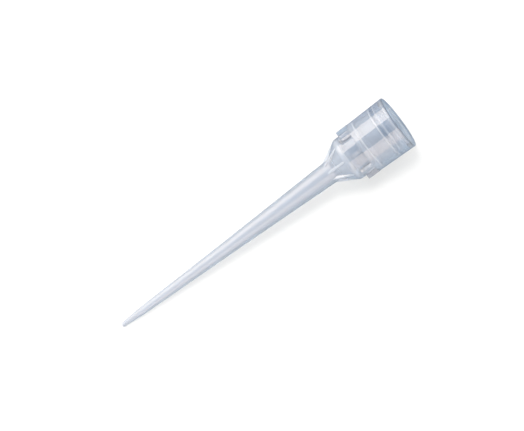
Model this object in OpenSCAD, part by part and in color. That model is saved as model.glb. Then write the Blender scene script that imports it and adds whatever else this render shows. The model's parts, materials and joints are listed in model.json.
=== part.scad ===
// One-piece moulded pipette tip for a multichannel head: an open hub with stepped bores,
// a ribbed collar, a gusseted shoulder and a long tapered shank down to a fine orifice.
// The tip lies on its side, on the rim of its cut end and the foot of its wide hub section.

/* [Overall] */
// Length from the cut end to the mouth of the hub
overall_l = 44.7; // [38:0.1:60]
// Diameter of the seal bore, which grips the mandrel of the head
bore_d = 6.28; // [5.2:0.02:7.6]

/* [Hub] */
// Length of the wide section, from the mouth to its foot
hub_l = 5.75; // [4.6:0.05:7]
// Wall of the wide section at its foot, round the seal bore
hub_wall = 0.51; // [0.42:0.01:0.62]
// Draft of the outside of the wide section, in degrees
hub_draft = 1.5; // [0.5:0.1:2.5]
// Radius on the outer edge of the mouth
mouth_edge_r = 0.12; // [0.05:0.01:0.15]
// Radius on the outer edge of the foot
foot_edge_r = 0.06; // [0.03:0.01:0.1]

/* [Hub bores] */
// Depth of the lead-in cone at the mouth
lead_in_l = 0.7; // [0.4:0.05:0.8]
// How far the lead-in cone opens the entry bore, on the radius
lead_in_flare = 0.22; // [0.1:0.01:0.26]
// Depth at which the entry bore ends and the ramp into the seal bore starts
entry_l = 1.55; // [1.2:0.05:1.9]
// How much wider the entry bore is than the seal bore, on the radius
entry_step = 0.16; // [0.1:0.01:0.2]
// Length of the ramp from the entry bore towards the seal bore
ramp_l = 0.95; // [0.6:0.05:1.2]
// Square step left at the foot of the ramp, down to the seal bore, on the radius
ramp_step = 0.08; // [0.03:0.01:0.09]
// Height of the ledge that stops the mandrel, above the foot of the wide section
ledge_rise = 0.85; // [0.6:0.05:1.2]
// Width of that ledge, from the seal bore in to the lower bore
ledge_w = 0.5; // [0.4:0.02:0.7]
// Height at which the lower bore ends, above the corner of the collar
seat_rise = 1.1; // [0.5:0.05:1.3]

/* [Collar] */
// Length of the collar, from the foot of the wide section to its lower corner
collar_l = 2.6; // [2.1:0.05:3.2]
// Wall of the collar
collar_wall = 0.45; // [0.36:0.01:0.55]
// Radius of the band that blends the collar into the shoulder
collar_blend_r = 1; // [0.5:0.05:1.2]

/* [Shoulder] */
// Length of the conical shoulder, from the corner of the collar to the shank
shoulder_l = 2.05; // [1.7:0.05:2.6]
// Radius that blends the shoulder into the shank
shoulder_blend_r = 0.6; // [0.3:0.05:1]

/* [Shank] */
// Outside diameter at the top of the shank, under the shoulder
shank_top_od = 3.06; // [2.5:0.02:3.7]
// Wall at the top of the shank
shank_top_wall = 0.42; // [0.35:0.01:0.52]
// Outside diameter where the two tapers of the shank meet
shank_mid_od = 1.87; // [1.6:0.01:2.2]
// Wall where the two tapers meet
shank_mid_wall = 0.36; // [0.3:0.01:0.44]
// Distance of that meeting from the cut end
shank_mid_l = 17.5; // [14:0.5:21]

/* [End cone] */
// Length of the steeper end cone
end_cone_l = 2.9; // [2.4:0.1:3.6]
// Outside diameter where the end cone starts
end_cone_od = 1.02; // [0.9:0.01:1.22]
// Wall where the end cone starts
end_cone_wall = 0.26; // [0.2:0.01:0.31]
// Outside diameter of the cut end
end_od = 0.54; // [0.5:0.01:0.66]
// Diameter of the orifice
orifice_d = 0.3; // [0.22:0.01:0.36]

/* [Ribs] */
// Number of ribs round the collar, and of gussets on the shoulder
rib_n = 8; // [6:1:12]
// Thickness of a collar rib
rib_t = 0.4; // [0.3:0.02:0.5]
// Length of a collar rib below the wide section
rib_l = 1.7; // [1.4:0.05:2.05]
// Height by which a collar rib stands proud of the foot of the wide section
rib_proud = 0.03; // [0.01:0.01:0.05]
// Thickness of a shoulder gusset
gusset_t = 0.36; // [0.3:0.02:0.5]
// Length by which a gusset runs down the shank, below the shoulder
gusset_l = 0.8; // [0.5:0.05:1.2]

/* [Hidden] */
$fn = 96;
plastic = [0.86, 0.89, 0.95];

// Small radii of the moulding, and how deep a rib is rooted in the wall that carries it
ledge_corner_r = 0.08;
ledge_edge_r = 0.1;
foot_corner_r = 0.08;
inner_blend_r = 0.8;
rib_root = 0.15;
arc_steps = 6;

// Stations along the axis, measured from the cut end
mouth_z = overall_l;
entry_z = mouth_z - entry_l;
foot_z = mouth_z - hub_l;
ledge_z = foot_z + ledge_rise;
corner_z = foot_z - collar_l;
seat_z = corner_z + seat_rise;
shoulder_z = corner_z - shoulder_l;

// Radii, built out from the bore in the hub and given from outside on the shank
bore_r = bore_d / 2;
entry_r = bore_r + entry_step;
lead_in_r = entry_r + lead_in_flare;
foot_r = bore_r + hub_wall;
mouth_r = foot_r + hub_l * tan(hub_draft);
seat_r = bore_r - ledge_w;
collar_r = seat_r + collar_wall;
shank_top_r = shank_top_od / 2;
shank_mid_r = shank_mid_od / 2;
end_cone_r = end_cone_od / 2;
end_r = end_od / 2;

function unit(v) = v / norm(v);
function angle_of(v) = atan2(v[1], v[0]);
function half_corner(a, b, c) = acos(unit(a - b) * unit(c - b)) / 2;

// Center of the arc of radius r that rounds the corner at b, between a and c
function blend_center(a, b, c, r) =
    b + unit(unit(a - b) + unit(c - b)) * r / sin(half_corner(a, b, c));

// The points of that arc, from a's side to c's
function rounded(a, b, c, r) =
    let (center = blend_center(a, b, c, r))
    let (reach = r / tan(half_corner(a, b, c)))
    let (start = angle_of(b + unit(a - b) * reach - center))
    let (turn = angle_of(b + unit(c - b) * reach - center) - start)
    let (sweep = turn > 180 ? turn - 360 : turn < -180 ? turn + 360 : turn)
    [for (i = [0 : arc_steps]) let (t = start + sweep * i / arc_steps)
        center + r * [cos(t), sin(t)]];

// A profile's corners are [[radius, station], corner radius], and 0 leaves a corner sharp
function outline(corners) =
    let (n = len(corners))
    [for (i = [0 : n - 1])
        let (a = corners[(i + n - 1) % n][0])
        let (b = corners[i][0])
        let (c = corners[(i + 1) % n][0])
        let (r = corners[i][1])
        each r == 0 ? [b] : rounded(a, b, c, r)];

shank_top = [shank_top_r, shoulder_z];
collar_corner = [collar_r, corner_z];
foot_corner = [collar_r, foot_z];
foot_edge = [foot_r, foot_z];
mouth_edge = [mouth_r, mouth_z];
lead_in_edge = [lead_in_r, mouth_z];

outside = [
    [[end_r, 0], 0],
    [[end_cone_r, end_cone_l], 0],
    [[shank_mid_r, shank_mid_l], 0],
    [shank_top, shoulder_blend_r],
    [collar_corner, collar_blend_r],
    [foot_corner, foot_corner_r],
    [foot_edge, foot_edge_r],
    [mouth_edge, mouth_edge_r]
];

inside = [
    [lead_in_edge, 0],
    [[entry_r, mouth_z - lead_in_l], 0],
    [[entry_r, entry_z], 0],
    [[bore_r + ramp_step, entry_z - ramp_l], 0],
    [[bore_r, entry_z - ramp_l], 0],
    [[bore_r, ledge_z], ledge_corner_r],
    [[seat_r, ledge_z], ledge_edge_r],
    [[seat_r, seat_z], inner_blend_r],
    [[shank_top_r - shank_top_wall, shoulder_z], inner_blend_r],
    [[shank_mid_r - shank_mid_wall, shank_mid_l], 0],
    [[end_cone_r - end_cone_wall, end_cone_l], 0],
    [[orifice_d / 2, 0], 0]
];

// The tip lies on the rounded foot of the wide section and on the rim of its cut end, or on the
// corner where a taper of the shank ends, if other sizes bring that corner down first
foot_blend = blend_center(foot_corner, foot_edge, mouth_edge, foot_edge_r);
supports = [[end_r, 0], [end_cone_r, end_cone_l], [shank_mid_r, shank_mid_l]];
rest_tilt = min([for (support = supports)
    let (reach = foot_blend - support)
    atan2(reach[0], reach[1]) + asin(foot_edge_r / norm(reach))]);
tip_lift = max([for (support = supports)
    support[0] * cos(rest_tilt) - support[1] * sin(rest_tilt)]);

// Shift that puts the middle of the lying tip's length at the origin
mouth_blend = blend_center(foot_edge, mouth_edge, lead_in_edge, mouth_edge_r);
reach_high = mouth_blend[1] * cos(rest_tilt) + mouth_blend[0] * sin(rest_tilt) + mouth_edge_r;
reach_low = end_r * sin(rest_tilt);
rest_x = (reach_high - reach_low) / 2;

module shell() {
    rotate_extrude()
        polygon(outline(concat(outside, inside)));
}

// A flat rib whose outline is given as [radius, station] points
module rib(points, thickness) {
    rotate([90, 0, 0])
        linear_extrude(height = thickness, center = true)
            polygon(points);
}

// One of the ribs that carry the tip in its rack, between the collar and the wide section
module collar_rib() {
    crest = foot_r + rib_proud;
    root = collar_r - rib_root;
    rib([
        [root, foot_z - rib_l],
        [crest, foot_z - rib_l],
        [crest, foot_z],
        [foot_r - foot_edge_r, foot_z + foot_edge_r],
        [root, foot_z + foot_edge_r]
    ], rib_t);
}

// The crest of a gusset runs from the shank to the collar's blend, and is tangent to the blend
module shoulder_gusset() {
    taper = (shank_top_r - shank_mid_r) / (shoulder_z - shank_mid_l);
    foot = shank_top - gusset_l * [taper, 1];
    band = blend_center(shank_top, collar_corner, foot_corner, collar_blend_r);
    crest_angle = angle_of(band - foot) + asin(collar_blend_r / norm(band - foot));
    crest_top = band + collar_blend_r * [cos(crest_angle - 90), sin(crest_angle - 90)];
    rib([
        foot - [rib_root, 0],
        foot,
        crest_top,
        crest_top - [2 * rib_root, 0],
        shank_top - [rib_root, 0]
    ], gusset_t);
}

module tip_upright() {
    shell();
    for (i = [0 : rib_n - 1])
        rotate((i + 0.5) * 360 / rib_n) {
            collar_rib();
            shoulder_gusset();
        }
}

module pipette_tip() {
    color(plastic)
        translate([-rest_x, 0, tip_lift])
            rotate([0, 90 - rest_tilt, 0])
                tip_upright();
}

pipette_tip();
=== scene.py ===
import json
import math

import bpy
from mathutils import Matrix, Vector


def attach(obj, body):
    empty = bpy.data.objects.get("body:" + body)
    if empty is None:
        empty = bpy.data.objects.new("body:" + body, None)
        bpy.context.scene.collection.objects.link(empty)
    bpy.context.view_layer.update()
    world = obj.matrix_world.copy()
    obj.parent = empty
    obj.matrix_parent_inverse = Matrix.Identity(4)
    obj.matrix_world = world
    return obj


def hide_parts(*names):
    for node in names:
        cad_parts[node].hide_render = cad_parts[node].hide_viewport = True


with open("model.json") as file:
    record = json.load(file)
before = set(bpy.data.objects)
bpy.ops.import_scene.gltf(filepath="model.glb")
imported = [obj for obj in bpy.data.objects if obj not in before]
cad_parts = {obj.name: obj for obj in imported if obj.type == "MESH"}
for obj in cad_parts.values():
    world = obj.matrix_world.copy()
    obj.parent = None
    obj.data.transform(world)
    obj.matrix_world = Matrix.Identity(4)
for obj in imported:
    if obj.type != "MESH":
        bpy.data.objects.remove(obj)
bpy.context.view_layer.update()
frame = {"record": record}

# ---------------------------------------------------------------------------------------------
# How the tip lies: on its side, on the rim of its cut end and the foot of its wide section.
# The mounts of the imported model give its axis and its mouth. In the tip's own frame the origin
# is the middle of the cut end, Z runs along the axis to the mouth and X points down.
# ---------------------------------------------------------------------------------------------
MM = 0.001
OVERALL_L = 44.7

mounts = {mount["name"]: mount for mount in frame["record"]["mounts"]}
tip_axis = Vector(mounts["mandrel_bore"]["axis"]).normalized()
bore_point = Vector(mounts["mandrel_bore"]["pos_m"])
rim_point = Vector(mounts["mouth_rim"]["pos_m"])
mouth_middle = bore_point + tip_axis * (rim_point - bore_point).dot(tip_axis)
cut_end = mouth_middle - tip_axis * OVERALL_L * MM

tip_down = Vector((tip_axis.z, 0, -tip_axis.x))
tip_side = tip_axis.cross(tip_down)
lying_turn = Matrix((tip_down, tip_side, tip_axis)).transposed()
lying = Matrix.LocRotScale(cut_end, lying_turn, None)


# ---------------------------------------------------------------------------------------------
# The tip: one moulding. A core pin with stepped diameters leaves the bores, and the cavity
# leaves the outside with eight ribs on the collar and eight gussets on the shoulder. The wall
# is a closed profile turned about the axis. Ribs and gussets narrow to their crests, so that
# the moulding leaves the cavity, and are melted into the wall.
# ---------------------------------------------------------------------------------------------
BORE_R = 3.14
ENTRY_STEP = 0.16
LEAD_IN_FLARE = 0.22
LEAD_IN_L = 0.7
ENTRY_L = 1.55
RAMP_L = 0.95
RAMP_STEP = 0.08
HUB_L = 5.75
HUB_WALL = 0.51
HUB_DRAFT = math.radians(1.5)
LEDGE_RISE = 0.85
LEDGE_W = 0.5
SEAT_RISE = 1.1
COLLAR_L = 2.6
COLLAR_WALL = 0.45
COLLAR_BLEND_R = 1.0
SHOULDER_L = 2.05
SHANK_TOP_R, SHANK_TOP_WALL = 1.53, 0.42
SHANK_MID_R, SHANK_MID_WALL, SHANK_MID_L = 0.935, 0.36, 17.5
END_CONE_R, END_CONE_WALL, END_CONE_L = 0.51, 0.26, 2.9
END_R = 0.27
ORIFICE_R = 0.15
RIB_N = 8
RIB_T = 0.5
RIB_L = 1.7
RIB_OVERLAP = 0.06
RIB_PROUD = 0.03
RIB_ROOT = 0.15
RIB_DRAFT = math.radians(11)
GUSSET_T = 0.5
GUSSET_L = 0.8
GUSSET_DEPTH = 0.4
GUSSET_DRAFT = math.radians(16)
CREST_EDGE_R = 0.08

foot_z = OVERALL_L - HUB_L
ledge_z = foot_z + LEDGE_RISE
corner_z = foot_z - COLLAR_L
seat_z = corner_z + SEAT_RISE
shoulder_z = corner_z - SHOULDER_L
ramp_z = OVERALL_L - ENTRY_L
ramp_foot_z = ramp_z - RAMP_L
lead_in_z = OVERALL_L - LEAD_IN_L
entry_r = BORE_R + ENTRY_STEP
foot_r = BORE_R + HUB_WALL
mouth_r = foot_r + HUB_L * math.tan(HUB_DRAFT)
seat_r = BORE_R - LEDGE_W
collar_r = seat_r + COLLAR_WALL

# The corners of the wall's profile: distance from the axis, station, and corner radius
wall_profile = [
    (END_R, 0, 0.02),
    (END_CONE_R, END_CONE_L, 10),
    (SHANK_MID_R, SHANK_MID_L, 40),
    (SHANK_TOP_R, shoulder_z, 0.6),
    (collar_r, corner_z, COLLAR_BLEND_R),
    (collar_r, foot_z, 0.08),
    (foot_r, foot_z, 0.06),
    (mouth_r, OVERALL_L, 0.12),
    (entry_r + LEAD_IN_FLARE, OVERALL_L, 0.05),
    (entry_r, lead_in_z, 0.05),
    (entry_r, ramp_z, 0.05),
    (BORE_R + RAMP_STEP, ramp_foot_z, 0.03),
    (BORE_R, ramp_foot_z, 0.03),
    (BORE_R, ledge_z, 0.08),
    (seat_r, ledge_z, 0.1),
    (seat_r, seat_z, 0.8),
    (SHANK_TOP_R - SHANK_TOP_WALL, shoulder_z, 0.8),
    (SHANK_MID_R - SHANK_MID_WALL, SHANK_MID_L, 40),
    (END_CONE_R - END_CONE_WALL, END_CONE_L, 10),
    (ORIFICE_R, 0, 0.02),
]


def linear(hex_colour):
    """An sRGB hex colour as linear RGBA."""
    parts = [int(hex_colour[i:i + 2], 16) / 255 for i in (1, 3, 5)]
    return (*[p / 12.92 if p <= 0.04045 else ((p + 0.055) / 1.055) ** 2.4 for p in parts], 1)


def add_node(tree, kind, settings=None, inputs=None):
    """Adds a node, gives it its settings, and links or sets its inputs by name or number."""
    node = tree.nodes.new(kind)
    for name, value in (settings or {}).items():
        setattr(node, name, value)
    for key, value in (inputs or {}).items():
        if isinstance(value, bpy.types.NodeSocket):
            tree.links.new(value, node.inputs[key])
        else:
            node.inputs[key].default_value = value
    return node


# Natural polypropylene, shot clear into a polished mould. It lets light through with a cold
# milky cast, which deepens where the wall is thick, steps or turns, and in the gussets. Its skin
# is glossy, with a faint haze in patches of a few millimetres, and more matt on the shank. Real
# flow lines are finer than a tenth of a millimetre, and are drawn coarser, so that they show.
# The last quarter millimetre at the mouth is tinted darker, as painted shade of the mouth.
PP_IOR = 1.49
CLEAR_TINT = "#DAE4EF"
HAZE_TINT = "#E1E9F2"
# Darker colour for the last quarter millimetre at the mouth: painted shade
MOUTH_SHADE_TINT = "#C6D0DC"
SHADOW_TINT = "#DADADA"
HAZE_SIZE_MM = 3.0
HAZE_ROUGHNESS = 0.14
SHANK_MATT = 0.3
FLOW_LINE_MM = 0.25
FLOW_LINE_STRETCH = 10
FLOW_LINE_DEPTH = 0.02 * MM
FLOW_LINE_STRENGTH = 0.025
GLOSS_ROUGHNESS = 0.07
GLOSS_IOR = 1.5
MOUTH_SHADE_STARTS, MOUTH_SHADE_FULL = OVERALL_L - 0.25, OVERALL_L - 0.15
GUSSET_MILK = 0.45

# Bands along the axis from the cut end to the mouth: first station, last station, milkiness
milk_bands = [
    (0, 0, 0.5),  # cut end
    (shoulder_z, shoulder_z, 0.28),  # shank, which clears towards the shoulder
    (shoulder_z + 0.4, corner_z - 0.2, 0.33),  # shoulder
    (corner_z - 0.1, corner_z + 0.45, 0.45),  # blend into the collar
    (corner_z + 0.55, seat_z, 0.25),  # collar round the lower bore's end
    (seat_z + 0.05, foot_z, 0.14),  # thin collar with the ribs
    (foot_z + 0.05, ledge_z - 0.1, 0.28),  # foot of the wide section
    (ledge_z - 0.05, ledge_z + 0.05, 0.5),  # stop ledge
    (ledge_z + 0.1, ramp_foot_z + 0.08, 0.2),  # wall of the seal bore
    (ramp_foot_z + 0.13, ramp_foot_z + 0.33, 0.45),  # step above the seal bore
    (ramp_foot_z + 0.4, ramp_z - 0.08, 0.05),  # ramp, the clearest part
    (ramp_z - 0.03, ramp_z + 0.1, 0.3),  # corner above the ramp
    (ramp_z + 0.15, lead_in_z + 0.15, 0.13),  # wall of the entry bore
    (lead_in_z + 0.2, lead_in_z + 0.45, 0.32),  # corner of the lead-in
    (lead_in_z + 0.5, OVERALL_L, 0.15),  # mouth
]

polypropylene = bpy.data.materials.new("moulded_natural_polypropylene")
polypropylene.use_nodes = True
pp = polypropylene.node_tree
pp.nodes.clear()
pp_place = add_node(pp, "ShaderNodeTexCoord")
pp_tip_frame = add_node(pp, "ShaderNodeMapping", {"vector_type": "TEXTURE"}, {
    "Vector": pp_place.outputs["Object"],
    "Location": cut_end,
    "Rotation": lying_turn.to_euler(),
    "Scale": (MM, MM, MM),
})
pp_place_along = add_node(pp, "ShaderNodeSeparateXYZ", inputs={
    "Vector": pp_tip_frame.outputs["Vector"],
})
pp_station = add_node(pp, "ShaderNodeMath", {"operation": "DIVIDE"}, {
    0: pp_place_along.outputs["Z"],
    1: OVERALL_L,
})
pp_haze = add_node(pp, "ShaderNodeTexNoise", inputs={
    "Vector": pp_tip_frame.outputs["Vector"],
    "Scale": 1 / HAZE_SIZE_MM,
    "Detail": 3,
})
pp_tint = add_node(pp, "ShaderNodeMix", {"data_type": "RGBA"}, {
    "Factor": pp_haze.outputs["Fac"],
    6: linear(CLEAR_TINT),
    7: linear(HAZE_TINT),
})
# The colour turns darker towards the mouth's end: painted shade of the mouth
pp_mouth_shade = add_node(pp, "ShaderNodeMapRange", inputs={
    "Value": pp_station.outputs[0],
    "From Min": MOUTH_SHADE_STARTS / OVERALL_L,
    "From Max": MOUTH_SHADE_FULL / OVERALL_L,
})
pp_colour = add_node(pp, "ShaderNodeMix", {"data_type": "RGBA"}, {
    "Factor": pp_mouth_shade.outputs["Result"],
    6: pp_tint.outputs[2],
    7: linear(MOUTH_SHADE_TINT),
})
pp_matt = add_node(pp, "ShaderNodeMapRange", inputs={
    "Value": pp_station.outputs[0],
    "From Min": shoulder_z / OVERALL_L,
    "From Max": corner_z / OVERALL_L,
    "To Min": SHANK_MATT,
    "To Max": 0,
})
pp_rough = add_node(pp, "ShaderNodeMath", {"operation": "MULTIPLY_ADD"}, {
    0: pp_haze.outputs["Fac"],
    1: HAZE_ROUGHNESS,
    2: pp_matt.outputs["Result"],
})
pp_milk = add_node(pp, "ShaderNodeValToRGB", inputs={"Fac": pp_station.outputs[0]})
stops = pp_milk.color_ramp.elements
stops.remove(stops[1])
for first, last, milk in milk_bands:
    for station in sorted({first, last}):
        stop = stops.new(station / OVERALL_L) if station else stops[0]
        stop.color = (milk, milk, milk, 1)
pp_gusset = add_node(pp, "ShaderNodeAttribute", {"attribute_name": "is_gusset"})
pp_all_milk = add_node(pp, "ShaderNodeMath", {"operation": "MULTIPLY_ADD"}, {
    0: pp_gusset.outputs["Fac"],
    1: GUSSET_MILK,
    2: pp_milk.outputs["Color"],
})
pp_transmission = add_node(pp, "ShaderNodeMath", {"operation": "SUBTRACT"}, {
    0: 1,
    1: pp_all_milk.outputs[0],
})
pp_stretch = add_node(pp, "ShaderNodeVectorMath", {"operation": "MULTIPLY"}, {
    0: pp_tip_frame.outputs["Vector"],
    1: (1 / FLOW_LINE_MM, 1 / FLOW_LINE_MM, 1 / FLOW_LINE_MM / FLOW_LINE_STRETCH),
})
pp_flow = add_node(pp, "ShaderNodeTexNoise", inputs={"Vector": pp_stretch.outputs[0], "Scale": 1})
pp_bump = add_node(pp, "ShaderNodeBump", inputs={
    "Height": pp_flow.outputs["Fac"],
    "Strength": FLOW_LINE_STRENGTH,
    "Distance": FLOW_LINE_DEPTH,
})
pp_skin = add_node(pp, "ShaderNodeBsdfPrincipled", inputs={
    "Base Color": pp_colour.outputs[2],
    "Roughness": pp_rough.outputs[0],
    "Normal": pp_bump.outputs["Normal"],
    "IOR": PP_IOR,
    "Transmission Weight": pp_transmission.outputs[0],
    "Coat Weight": 1.0,
    "Coat Roughness": GLOSS_ROUGHNESS,
    "Coat IOR": GLOSS_IOR,
})
pp_path = add_node(pp, "ShaderNodeLightPath")
pp_clear = add_node(pp, "ShaderNodeBsdfTransparent", inputs={"Color": linear(SHADOW_TINT)})
pp_lit_through = add_node(pp, "ShaderNodeMixShader", inputs={
    0: pp_path.outputs["Is Shadow Ray"],
    1: pp_skin.outputs["BSDF"],
    2: pp_clear.outputs["BSDF"],
})
add_node(pp, "ShaderNodeOutputMaterial", inputs={"Surface": pp_lit_through.outputs[0]})

tip_mesh = bpy.data.meshes.new("tip_profile")
profile_edges = [(i, (i + 1) % len(wall_profile)) for i in range(len(wall_profile))]
tip_mesh.from_pydata([(r, 0, z) for r, z, _ in wall_profile], profile_edges, [])
corner_radius = tip_mesh.attributes.new("corner_radius", "FLOAT", "POINT")
corner_radius.data.foreach_set("value", [radius for _, _, radius in wall_profile])
tip = bpy.data.objects.new("moulded_tip", tip_mesh)
bpy.context.scene.collection.objects.link(tip)

# A gusset's crest leaves the shank below the shoulder, and meets the collar's blend as a tangent
shank_taper = (SHANK_TOP_R - SHANK_MID_R) / (shoulder_z - SHANK_MID_L)
gusset_foot = Vector((SHANK_TOP_R - GUSSET_L * shank_taper, shoulder_z - GUSSET_L))
shoulder_slope = math.atan2(collar_r - SHANK_TOP_R, SHOULDER_L)
blend_middle = Vector((
    collar_r - COLLAR_BLEND_R,
    corner_z + COLLAR_BLEND_R * math.tan(shoulder_slope / 2),
))
to_blend = blend_middle - gusset_foot
gusset_lean = math.atan2(to_blend.x, to_blend.y) + math.asin(COLLAR_BLEND_R / to_blend.length)
gusset_length = math.sqrt(to_blend.length_squared - COLLAR_BLEND_R ** 2)

# A rib reaches from its crest, a little proud of the foot, to a root inside the collar's wall
rib_depth = foot_r + RIB_PROUD - collar_r + RIB_ROOT

turned = bpy.data.node_groups.new("turned_wall_with_ribs", "GeometryNodeTree")
turned.interface.new_socket("Profile", in_out="INPUT", socket_type="NodeSocketGeometry")
tip_sizes = {
    "Turn steps": ("NodeSocketInt", 240),
    "Arc points": ("NodeSocketInt", 9),
    "Weld distance": ("NodeSocketFloat", 0.0002),
    "Rib number": ("NodeSocketInt", RIB_N),
    "Rib thickness": ("NodeSocketFloat", RIB_T),
    "Rib crest": ("NodeSocketFloat", RIB_T - 2 * rib_depth * math.tan(RIB_DRAFT)),
    "Rib depth": ("NodeSocketFloat", rib_depth),
    "Rib length": ("NodeSocketFloat", RIB_L + RIB_OVERLAP),
    "Rib place": ("NodeSocketVector", (foot_r + RIB_PROUD, 0, foot_z - RIB_L)),
    "Gusset thickness": ("NodeSocketFloat", GUSSET_T),
    "Gusset crest": ("NodeSocketFloat", GUSSET_T - 2 * GUSSET_DEPTH * math.tan(GUSSET_DRAFT)),
    "Gusset depth": ("NodeSocketFloat", GUSSET_DEPTH),
    "Gusset length": ("NodeSocketFloat", gusset_length),
    "Gusset place": ("NodeSocketVector", (gusset_foot.x, 0, gusset_foot.y)),
    "Gusset lean": ("NodeSocketFloat", gusset_lean),
    "Crest edge radius": ("NodeSocketFloat", CREST_EDGE_R),
    "Crest edge points": ("NodeSocketInt", 6),
    "Sharp edge angle": ("NodeSocketFloat", math.radians(32)),
    "Plastic": ("NodeSocketMaterial", polypropylene),
}
size_sockets = {
    name: turned.interface.new_socket(name, in_out="INPUT", socket_type=kind)
    for name, (kind, _) in tip_sizes.items()
}
turned.interface.new_socket("Tip", in_out="OUTPUT", socket_type="NodeSocketGeometry")
given = add_node(turned, "NodeGroupInput").outputs

# Each point of the rounded profile becomes a ring of points round the axis. The rings are turned
# clockwise, so that the faces look out of the plastic.
bare_outline = add_node(turned, "GeometryNodeMeshToCurve", inputs={"Mesh": given["Profile"]})
radius_of_corner = add_node(turned, "GeometryNodeInputNamedAttribute", inputs={"Name": "corner_radius"})
outline = add_node(turned, "GeometryNodeFilletCurve", {"mode": "POLY"}, {
    "Curve": bare_outline.outputs[0],
    "Count": given["Arc points"],
    "Radius": radius_of_corner.outputs["Attribute"],
    "Limit Radius": False,
})
outline_size = add_node(turned, "GeometryNodeAttributeDomainSize", {"component": "CURVE"}, {
    0: outline.outputs[0],
})
ring_n = add_node(turned, "FunctionNodeIntegerMath", {"operation": "ADD"}, {
    0: outline_size.outputs["Point Count"],
    1: 1,
})
column_n = add_node(turned, "FunctionNodeIntegerMath", {"operation": "ADD"}, {
    0: given["Turn steps"],
    1: 1,
})
flat_wall = add_node(turned, "GeometryNodeMeshGrid", inputs={
    "Vertices X": ring_n.outputs[0],
    "Vertices Y": column_n.outputs[0],
})
point_number = add_node(turned, "GeometryNodeInputIndex")
ring = add_node(turned, "FunctionNodeIntegerMath", {"operation": "DIVIDE"}, {
    0: point_number.outputs[0],
    1: column_n.outputs[0],
})
outline_point = add_node(turned, "FunctionNodeIntegerMath", {"operation": "MODULO"}, {
    0: ring.outputs[0],
    1: outline_size.outputs["Point Count"],
})
column = add_node(turned, "FunctionNodeIntegerMath", {"operation": "MODULO"}, {
    0: point_number.outputs[0],
    1: column_n.outputs[0],
})
turn_share = add_node(turned, "ShaderNodeMath", {"operation": "DIVIDE"}, {
    0: column.outputs[0],
    1: given["Turn steps"],
})
turn = add_node(turned, "ShaderNodeMath", {"operation": "MULTIPLY"}, {
    0: turn_share.outputs[0],
    1: -math.tau,
})
outline_place = add_node(turned, "GeometryNodeInputPosition")
ring_place = add_node(turned, "GeometryNodeSampleIndex", {"data_type": "FLOAT_VECTOR"}, {
    "Geometry": outline.outputs[0],
    "Value": outline_place.outputs[0],
    "Index": outline_point.outputs[0],
})
turned_place = add_node(turned, "ShaderNodeVectorRotate", {"rotation_type": "Z_AXIS"}, {
    "Vector": ring_place.outputs[0],
    "Angle": turn.outputs[0],
})
open_wall = add_node(turned, "GeometryNodeSetPosition", inputs={
    "Geometry": flat_wall.outputs["Mesh"],
    "Position": turned_place.outputs[0],
})
wall = add_node(turned, "GeometryNodeMergeByDistance", inputs={
    "Geometry": open_wall.outputs[0],
    "Distance": given["Weld distance"],
})


def drafted_bar(thickness, crest, depth, length):
    """A bar along Z that narrows to a crest at X = 0, with rounded edges."""
    section = add_node(turned, "GeometryNodeCurvePrimitiveQuadrilateral", {"mode": "TRAPEZOID"}, {
        "Height": depth,
        "Bottom Width": thickness,
        "Top Width": crest,
        "Offset": 0,
    })
    rounded = add_node(turned, "GeometryNodeFilletCurve", {"mode": "POLY"}, {
        "Curve": section.outputs[0],
        "Count": given["Crest edge points"],
        "Radius": given["Crest edge radius"],
    })
    half_depth = add_node(turned, "ShaderNodeMath", {"operation": "MULTIPLY"}, {0: depth, 1: -0.5})
    shift = add_node(turned, "ShaderNodeCombineXYZ", inputs={"X": half_depth.outputs[0]})
    below_crest = add_node(turned, "GeometryNodeTransform", inputs={
        "Geometry": rounded.outputs[0],
        "Translation": shift.outputs[0],
        "Rotation": (0, 0, -math.pi / 2),
    })
    far_end = add_node(turned, "ShaderNodeCombineXYZ", inputs={"Z": length})
    path = add_node(turned, "GeometryNodeCurvePrimitiveLine", inputs={
        "Start": (0, 0, 0),
        "End": far_end.outputs[0],
    })
    return add_node(turned, "GeometryNodeCurveToMesh", inputs={
        "Curve": path.outputs[0],
        "Profile Curve": below_crest.outputs[0],
        "Fill Caps": True,
    }).outputs[0]


rib = add_node(turned, "GeometryNodeTransform", inputs={
    "Geometry": drafted_bar(
        given["Rib thickness"], given["Rib crest"], given["Rib depth"], given["Rib length"]
    ),
    "Translation": given["Rib place"],
})
lean = add_node(turned, "ShaderNodeCombineXYZ", inputs={"Y": given["Gusset lean"]})
gusset = add_node(turned, "GeometryNodeTransform", inputs={
    "Geometry": drafted_bar(
        given["Gusset thickness"], given["Gusset crest"], given["Gusset depth"], given["Gusset length"]
    ),
    "Translation": given["Gusset place"],
    "Rotation": lean.outputs[0],
})
marked_gusset = add_node(turned, "GeometryNodeStoreNamedAttribute", {"domain": "FACE"}, {
    "Geometry": gusset.outputs[0],
    "Name": "is_gusset",
    "Value": 1.0,
})
rib_and_gusset = add_node(turned, "GeometryNodeJoinGeometry")
turned.links.new(rib.outputs[0], rib_and_gusset.inputs[0])
turned.links.new(marked_gusset.outputs[0], rib_and_gusset.inputs[0])

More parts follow.
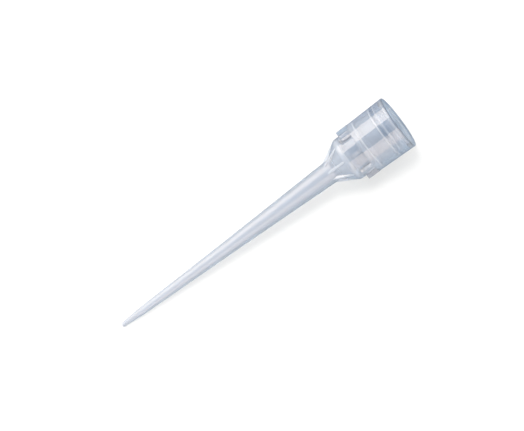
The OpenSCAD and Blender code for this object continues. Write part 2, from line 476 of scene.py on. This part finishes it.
# The first pair stands half a division from the line that the tip lies on
division = add_node(turned, "ShaderNodeMath", {"operation": "DIVIDE"}, {
    0: math.tau,
    1: given["Rib number"],
})
rib_number = add_node(turned, "ShaderNodeMath", {"operation": "ADD"}, {
    0: point_number.outputs[0],
    1: 0.5,
})
rib_turn = add_node(turned, "ShaderNodeMath", {"operation": "MULTIPLY"}, {
    0: division.outputs[0],
    1: rib_number.outputs[0],
})
rib_heading = add_node(turned, "ShaderNodeCombineXYZ", inputs={"Z": rib_turn.outputs[0]})
hub_middle = add_node(turned, "GeometryNodePoints", inputs={"Count": given["Rib number"]})
all_ribs = add_node(turned, "GeometryNodeInstanceOnPoints", inputs={
    "Points": hub_middle.outputs[0],
    "Instance": rib_and_gusset.outputs[0],
    "Rotation": rib_heading.outputs[0],
})
loose_ribs = add_node(turned, "GeometryNodeRealizeInstances", inputs={0: all_ribs.outputs[0]})
moulding = add_node(turned, "GeometryNodeMeshBoolean", {"operation": "UNION", "solver": "MANIFOLD"})
turned.links.new(wall.outputs[0], moulding.inputs["Mesh 2"])
turned.links.new(loose_ribs.outputs[0], moulding.inputs["Mesh 2"])

# The union leaves a few points almost on each other, which are welded
without_slivers = add_node(turned, "GeometryNodeMergeByDistance", inputs={
    "Geometry": moulding.outputs[0],
    "Distance": given["Weld distance"],
})
smooth = add_node(turned, "GeometryNodeSetShadeSmooth", {"domain": "FACE"}, {
    0: without_slivers.outputs[0],
})
edge_angle = add_node(turned, "GeometryNodeInputMeshEdgeAngle")
is_sharp = add_node(turned, "FunctionNodeCompare", {"data_type": "FLOAT", "operation": "GREATER_THAN"}, {
    0: edge_angle.outputs["Unsigned Angle"],
    1: given["Sharp edge angle"],
})
crisp = add_node(turned, "GeometryNodeSetShadeSmooth", {"domain": "EDGE"}, {
    "Geometry": smooth.outputs[0],
    "Selection": is_sharp.outputs[0],
    "Shade Smooth": False,
})
plain = add_node(turned, "GeometryNodeRealizeInstances", inputs={0: crisp.outputs[0]})
finished = add_node(turned, "GeometryNodeSetMaterial", inputs={
    "Geometry": plain.outputs[0],
    "Material": given["Plastic"],
})
add_node(turned, "NodeGroupOutput", inputs={"Tip": finished.outputs[0]})

shaping = tip.modifiers.new("turned_wall_with_ribs", "NODES")
shaping.node_group = turned
for name, (_, value) in tip_sizes.items():
    shaping[size_sockets[name].identifier] = value
even_normals = tip.modifiers.new("even_normals", "WEIGHTED_NORMAL")
even_normals.keep_sharp = True
moulded = bpy.data.meshes.new_from_object(tip.evaluated_get(bpy.context.evaluated_depsgraph_get()))
tip.modifiers.clear()
tip.data = moulded
moulded.transform(lying @ Matrix.Scale(MM, 4))
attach(tip, "root")
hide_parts("pipette_tip")

# ---------------------------------------------------------------------------------------------
# The table: a plain matt white sheet that the tip lies on, and which keeps its soft shadow. It
# is bright white where it is looked at straight. Through the plastic and in its skin it is a cool
# grey, with painted shade that deepens it behind the tip. In the skin the part in front of the tip
# is a painted reflection: white and glowing away from the tip, and grey close to it as painted
# shadow. The same glow lights the tip from below as painted bounce light.
# ---------------------------------------------------------------------------------------------
TABLE_HALF = 3.0
WHITE_PAPER = "#B4B9BE"
# The lift is also a painted glow: diffuse rays and the mirrored sheet in front get it too
WHITE_LIFT = "#BAB9B4"
GREY_PAPER = "#ACBECE"
# The back grey is painted shade: to glossy and transmission rays the sheet behind the tip is darker
BACK_PAINTED_SHADE = "#8896A9"
# The front white is a painted reflection: the skin mirrors a bright, glowing sheet in front of the tip
FRONT_PAINTED_REFLECTION = "#F4F4F4"
BACK_SHADE_STARTS, BACK_SHADE_FULL = 3 * MM, 6 * MM
FRONT_REFLECTION_STARTS, FRONT_REFLECTION_FULL = -4 * MM, -20 * MM

table_white = bpy.data.materials.new("matt_white_sheet")
table_white.use_nodes = True
tw = table_white.node_tree
tw.nodes.clear()
tw_path = add_node(tw, "ShaderNodeLightPath")
tw_spot = add_node(tw, "ShaderNodeNewGeometry")
tw_across = add_node(tw, "ShaderNodeSeparateXYZ", inputs={0: tw_spot.outputs["Position"]})
# Painted shade: the sheet grows darker behind the tip
tw_back_shade = add_node(tw, "ShaderNodeMapRange", inputs={
    "Value": tw_across.outputs["Y"],
    "From Min": BACK_SHADE_STARTS,
    "From Max": BACK_SHADE_FULL,
})
tw_front_reflection = add_node(tw, "ShaderNodeMapRange", inputs={
    "Value": tw_across.outputs["Y"],
    "From Min": FRONT_REFLECTION_STARTS,
    "From Max": FRONT_REFLECTION_FULL,
})
# Painted reflection for mirrored rays: white and glowing away from the tip, grey near it as painted
# shadow
tw_painted_reflection = add_node(tw, "ShaderNodeMath", {"operation": "MULTIPLY"}, {
    0: tw_front_reflection.outputs["Result"],
    1: tw_path.outputs["Is Reflection Ray"],
})
tw_grey = add_node(tw, "ShaderNodeMix", {"data_type": "RGBA"}, {
    "Factor": tw_back_shade.outputs["Result"],
    6: linear(GREY_PAPER),
    7: linear(BACK_PAINTED_SHADE),
})
tw_around = add_node(tw, "ShaderNodeMix", {"data_type": "RGBA"}, {
    "Factor": tw_painted_reflection.outputs[0],
    6: tw_grey.outputs[2],
    7: linear(FRONT_PAINTED_REFLECTION),
})
tw_plain = add_node(tw, "ShaderNodeMath", {"operation": "MAXIMUM"}, {
    0: tw_path.outputs["Is Camera Ray"],
    1: tw_path.outputs["Is Diffuse Ray"],
})
tw_colour = add_node(tw, "ShaderNodeMix", {"data_type": "RGBA"}, {
    "Factor": tw_plain.outputs[0],
    6: tw_around.outputs[2],
    7: linear(WHITE_PAPER),
})
tw_paper = add_node(tw, "ShaderNodeBsdfDiffuse", inputs={"Color": tw_colour.outputs[2]})
# The glow lifts the sheet to white for the lens. It also makes the painted reflection in front, and
# lights the tip from below as painted bounce light
tw_lift_and_painted_glow = add_node(tw, "ShaderNodeMath", {"operation": "MAXIMUM"}, {
    0: tw_plain.outputs[0],
    1: tw_painted_reflection.outputs[0],
})
tw_glow = add_node(tw, "ShaderNodeEmission", inputs={
    "Color": linear(WHITE_LIFT),
    "Strength": tw_lift_and_painted_glow.outputs[0],
})
tw_both = add_node(tw, "ShaderNodeAddShader", inputs={0: tw_glow.outputs[0], 1: tw_paper.outputs[0]})
add_node(tw, "ShaderNodeOutputMaterial", inputs={"Surface": tw_both.outputs[0]})

table_mesh = bpy.data.meshes.new("table")
table_corners = [(x * TABLE_HALF, y * TABLE_HALF, 0) for x, y in ((-1, -1), (1, -1), (1, 1), (-1, 1))]
table_mesh.from_pydata(table_corners, [], [(0, 1, 2, 3)])
table_mesh.materials.append(table_white)
table = bpy.data.objects.new("table", table_mesh)
bpy.context.scene.collection.objects.link(table)

# ---------------------------------------------------------------------------------------------
# The camera: a long lens above the table, which looks a little into the mouth. The tip runs to
# the upper right of the frame, and a rib of the collar points at the lens.
# ---------------------------------------------------------------------------------------------
LOOK_IN = math.radians(7.4)
LOOK_ROUND = math.radians(22.5)
AXIS_RISE = math.radians(36.42)
CAMERA_DISTANCE = 2000 * MM
FRAME_WIDTH = 67.76 * MM
FRAME_RIGHT_OF_TIP = 0.2 * MM
FRAME_ABOVE_TIP = 1.05 * MM
SENSOR_WIDTH = 36

tip_up = -tip_down
square_on = math.cos(LOOK_ROUND) * tip_up + math.sin(LOOK_ROUND) * Vector((0, -1, 0))
to_camera = math.sin(LOOK_IN) * tip_axis + math.cos(LOOK_IN) * square_on
axis_seen = (tip_axis - tip_axis.dot(to_camera) * to_camera).normalized()
across_seen = to_camera.cross(axis_seen)
frame_right = math.cos(AXIS_RISE) * axis_seen - math.sin(AXIS_RISE) * across_seen
frame_up = math.sin(AXIS_RISE) * axis_seen + math.cos(AXIS_RISE) * across_seen
axis_middle = cut_end + tip_axis * OVERALL_L * MM / 2
frame_middle = axis_middle + FRAME_RIGHT_OF_TIP * frame_right + FRAME_ABOVE_TIP * frame_up

camera_data = bpy.data.cameras.new("camera")
camera_data.sensor_width = SENSOR_WIDTH
camera_data.lens = SENSOR_WIDTH * CAMERA_DISTANCE / FRAME_WIDTH
camera_data.clip_start = 0.01
camera = bpy.data.objects.new("camera", camera_data)
camera_turn = Matrix((frame_right, frame_up, to_camera)).transposed()
camera.matrix_world = Matrix.LocRotScale(frame_middle + CAMERA_DISTANCE * to_camera, camera_turn, None)
bpy.context.scene.collection.objects.link(camera)
bpy.context.scene.camera = camera

# ---------------------------------------------------------------------------------------------
# The lamps and the room: a wide softbox behind the tip draws the long band of light on its upper
# side, a reflector in front draws the weaker band on its lower side, and a small lamp above
# makes the soft shadow. The room is cold grey, with a pale wall at the back beyond the cut end.
# ---------------------------------------------------------------------------------------------
LAMP_DISTANCE = 0.7


def hang_lamp(name, lean, swing, width, height, power, colour, mirrored=True):
    """An area lamp that faces the tip, and is seen in its skin or not. It leans from straight up
    to the far side, and swings from straight up along the tip to the mouth, in degrees."""
    lean, swing = math.radians(lean), math.radians(swing)
    toward = Vector((
        math.sin(swing),
        math.cos(swing) * math.sin(lean),
        math.cos(swing) * math.cos(lean),
    ))
    lamp_data = bpy.data.lights.new(name, "AREA")
    lamp_data.shape = "RECTANGLE"
    lamp_data.size = width
    lamp_data.size_y = height
    lamp_data.energy = power
    lamp_data.color = linear(colour)[:3]
    lamp = bpy.data.objects.new(name, lamp_data)
    lamp.location = toward * LAMP_DISTANCE
    lamp.rotation_euler = toward.to_track_quat("Z", "Y").to_euler()
    lamp.visible_camera = False
    lamp.visible_glossy = mirrored
    lamp.visible_transmission = mirrored
    bpy.context.scene.collection.objects.link(lamp)


hang_lamp("softbox", lean=38, swing=-17, width=0.4, height=0.6, power=2.0, colour="#FFEAD4")
hang_lamp("reflector", lean=-66, swing=-10, width=0.3, height=0.68, power=1.25, colour="#FFE4CC")
hang_lamp(
    "key", lean=10.5, swing=12, width=0.3, height=0.3, power=3.9, colour="#FFF4E8", mirrored=False
)

ROOM_GREY = "#929EAF"
WALL_WHITE = "#D8DEE6"
WALL_DIRECTION = Vector((-0.5, 0.87, 0))
WALL_STARTS, WALL_FULL = 0.45, 0.8
world = bpy.data.worlds.new("room")
bpy.context.scene.world = world
world.use_nodes = True
room = world.node_tree
room.nodes.clear()
room_path = add_node(room, "ShaderNodeLightPath")
room_direction = add_node(room, "ShaderNodeTexCoord")
room_toward_wall = add_node(room, "ShaderNodeVectorMath", {"operation": "DOT_PRODUCT"}, {
    0: room_direction.outputs["Generated"],
    1: WALL_DIRECTION,
})
room_wall = add_node(room, "ShaderNodeMapRange", inputs={
    "Value": room_toward_wall.outputs["Value"],
    "From Min": WALL_STARTS,
    "From Max": WALL_FULL,
})
room_walls = add_node(room, "ShaderNodeMix", {"data_type": "RGBA"}, {
    "Factor": room_wall.outputs["Result"],
    6: linear(ROOM_GREY),
    7: linear(WALL_WHITE),
})
room_colour = add_node(room, "ShaderNodeMix", {"data_type": "RGBA"}, {
    "Factor": room_path.outputs["Is Camera Ray"],
    6: room_walls.outputs[2],
    7: (1, 1, 1, 1),
})
room_light = add_node(room, "ShaderNodeBackground", inputs={"Color": room_colour.outputs[2]})
add_node(room, "ShaderNodeOutputWorld", inputs={"Surface": room_light.outputs[0]})

bpy.context.scene.view_settings.view_transform = "Standard"
